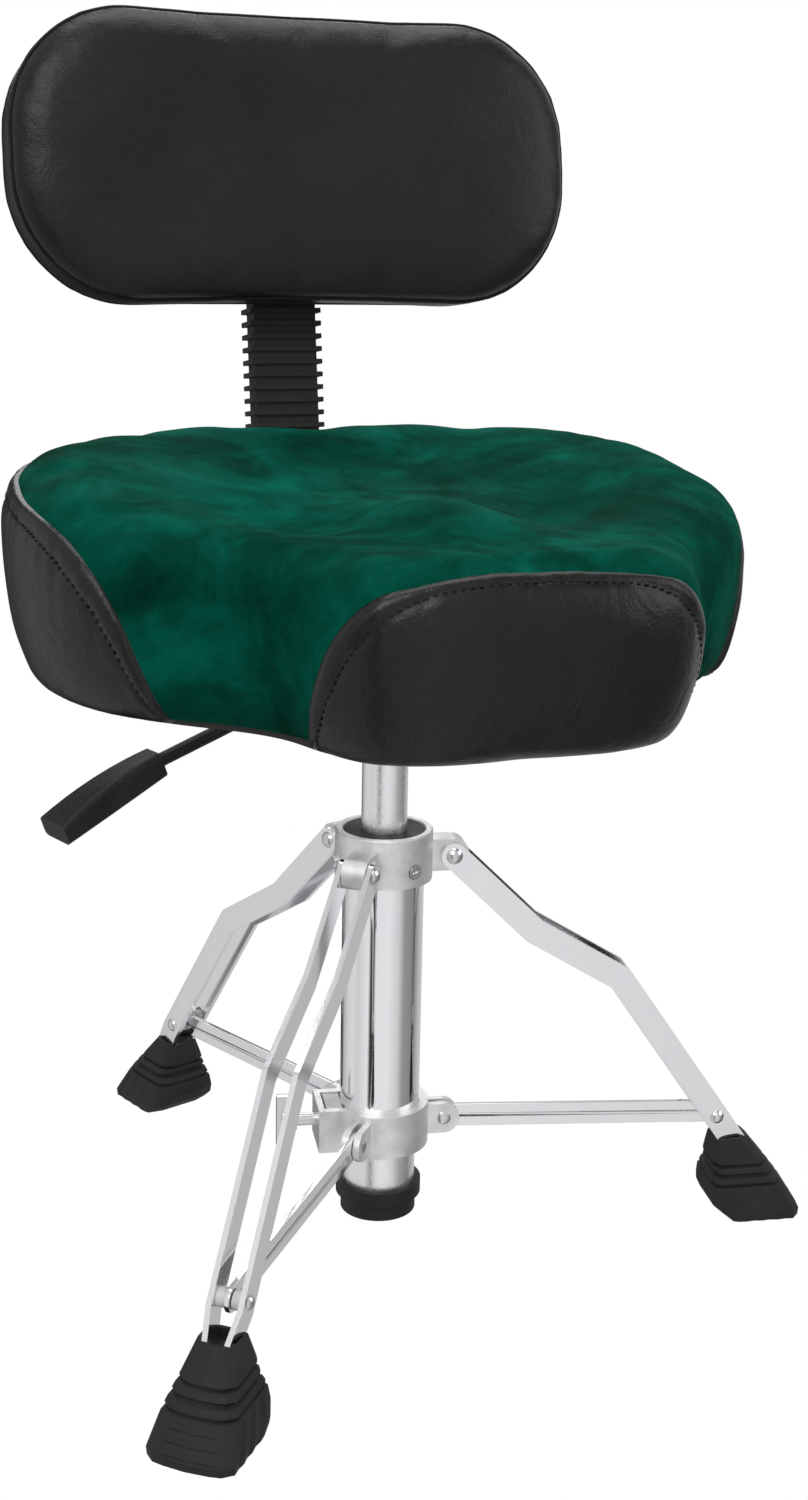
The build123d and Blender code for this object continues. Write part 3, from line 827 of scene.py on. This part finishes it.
def foot(leg):
    """tapered rubber boot, open at the top"""
    heights = [FOOT_BOTTOM]
    while heights[-1] < FOOT_TOP:
        heights.append(min(float(FOOT_TOP), heights[-1] + FOOT_STEP))
    verts = []
    for z in heights:
        # the rim slopes down towards the inner side over the top 10 mm
        slope = max(0, (z - 40) / 10)
        section = foot_section(z)
        verts += [(r, side, z - slope * (max(0, 232 - r) * 0.12)) for r, side in section]
    count = len(section)
    faces = []
    rim = len(verts) - count
    for first in range(0, rim, count):
        faces += ring_faces(first, first + count, count)
    faces.append(tuple(reversed(range(count))))

    # the rim and a shallow well that the bars go into
    top = verts[rim:]
    centre = sum(r for r, _, _ in top) / count
    for share, drop in FOOT_WELL:
        first = len(verts) - count
        verts += [(centre + (r - centre) * share, side * share, z + drop) for r, side, z in top]
        faces += ring_faces(first, first + count, count)
    faces.append(tuple(len(verts) - count + k for k in range(count)))

    cos, sin = math.cos(LEG_ANGLE[leg]), math.sin(LEG_ANGLE[leg])
    verts = [to_frame((r * cos - side * sin, r * sin + side * cos, z)) for r, side, z in verts]
    boot = make(f"leg_{leg}_rubber_foot", verts, faces, f"leg_{leg}", "rubber_foot",
                smooth=False)
    modify(boot, "bev", "BEVEL", width=0.0005, segments=2, limit_method="ANGLE",
           angle_limit=math.radians(28), harden_normals=False)
    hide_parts(f"leg_{leg}_foot")


for leg in (1, 2, 3):
    foot(leg)

# ---------------------------------------------------------------- world
# No floor: the throne stands in a plain white studio, and folded legs stay in view below it.
# Brightness around the horizon as reflections see it: share of a turn from -X, grey
STUDIO_BANDS = [
    (0.0, 0.62), (0.09, 0.80), (0.110, 0.04), (0.132, 0.03), (0.15, 0.78), (0.25, 0.80),
    (0.33, 0.62), (0.38, 0.30), (0.46, 0.24), (0.485, 0.05), (0.51, 0.30), (0.56, 0.48),
    (0.64, 0.60), (0.69, 0.50), (0.715, 0.04), (0.79, 0.06), (0.83, 0.45), (0.90, 0.66),
    (0.96, 0.70), (1.0, 0.62)]
TURNS_PER_RADIAN = 0.1591549


def build_world(scene):
    world = bpy.data.worlds.new("studio")
    scene.world = world
    nodes = Nodes(world)
    output = nodes.add("OutputWorld")
    direction = nodes.add("TexCoord").outputs["Generated"]
    axes = nodes.add("SeparateXYZ", {0: direction}).outputs
    angle = nodes.math("ARCTAN2", axes["Y"], axes["X"])
    turns = nodes.math("ADD", nodes.math("MULTIPLY", angle, TURNS_PER_RADIAN), 0.5)
    bands = nodes.ramp(nodes.math("FRACT", turns, 0.0),
                       [(place, (g * 0.985, g * 0.99, g)) for place, g in STUDIO_BANDS])

    def background(colour, strength):
        return nodes.add("Background", {0: colour, 1: strength}).outputs[0]

    white = (1, 1, 1, 1)
    reflected = background(bands, strength=1.0)
    seen = background(white, strength=1.0)
    diffuse = background(white, strength=0.55)
    rays = nodes.add("LightPath").outputs
    lighting = nodes.add("MixShader", {0: rays["Is Glossy Ray"], 1: diffuse, 2: reflected})
    final = nodes.add("MixShader", {0: rays["Is Camera Ray"], 1: lighting.outputs[0], 2: seen})
    nodes.put(output.inputs[0], final.outputs[0])


# ---------------------------------------------------------------- lights
def area(name, place, aim, size, power):
    """square area light; metres and watts"""
    light = bpy.data.lights.new(name, "AREA")
    light.energy = power
    light.size = size
    lamp = bpy.data.objects.new(name, light)
    lamp.location = place
    lamp.rotation_mode = "QUATERNION"
    lamp.rotation_quaternion = (Vector(aim) - Vector(place)).to_track_quat("-Z", "Y")
    bpy.context.collection.objects.link(lamp)


scene = bpy.context.scene
build_world(scene)
area("key", place=(-1.3, -1.5, 2.0), aim=(0, 0, 0.45), size=1.5, power=26)
area("fill", place=(1.9, -1.0, 1.2), aim=(0, 0, 0.35), size=1.6, power=13)
area("top", place=(0.1, 0.4, 2.4), aim=(0, 0, 0.4), size=1.6, power=20)
area("rear", place=(0.3, 2.0, 1.5), aim=(0, 0, 0.5), size=1.2, power=10)

# ---------------------------------------------------------------- camera
CAMERA_PLACE = Vector((0, -1.1598, 0.6263))    # before the orbit; height from design 0, m
CAMERA_ORBIT = math.radians(20.0)              # clockwise about Z, seen from above
CAMERA_YAW = math.radians(0.55)
CAMERA_PITCH = math.radians(14.99)             # downwards
CAMERA_ROLL = math.radians(1.16)
CAMERA_LENS = 47.7528                          # mm, on a 36 mm sensor


def build_camera(scene):
    forward = Vector((math.sin(CAMERA_YAW) * math.cos(CAMERA_PITCH),
                      math.cos(CAMERA_YAW) * math.cos(CAMERA_PITCH), -math.sin(CAMERA_PITCH)))
    level = Vector((math.cos(CAMERA_YAW), -math.sin(CAMERA_YAW), 0))
    upright = level.cross(forward)
    right = level * math.cos(CAMERA_ROLL) + upright * math.sin(CAMERA_ROLL)
    up = upright * math.cos(CAMERA_ROLL) - level * math.sin(CAMERA_ROLL)
    orbit = Matrix.Rotation(-CAMERA_ORBIT, 3, "Z")
    right, up, forward, place = (orbit @ v for v in (right, up, forward, CAMERA_PLACE))
    place.z += ZERO_HEIGHT

    data = bpy.data.cameras.new("camera")
    camera = bpy.data.objects.new("camera", data)
    bpy.context.collection.objects.link(camera)
    rows = [(right[i], up[i], -forward[i], place[i]) for i in range(3)]
    camera.matrix_world = Matrix((*rows, (0, 0, 0, 1)))
    data.sensor_width = 36
    data.sensor_fit = "AUTO"
    data.lens = CAMERA_LENS
    data.clip_start = 0.05
    scene.camera = camera


build_camera(scene)
scene.view_settings.view_transform = "Standard"
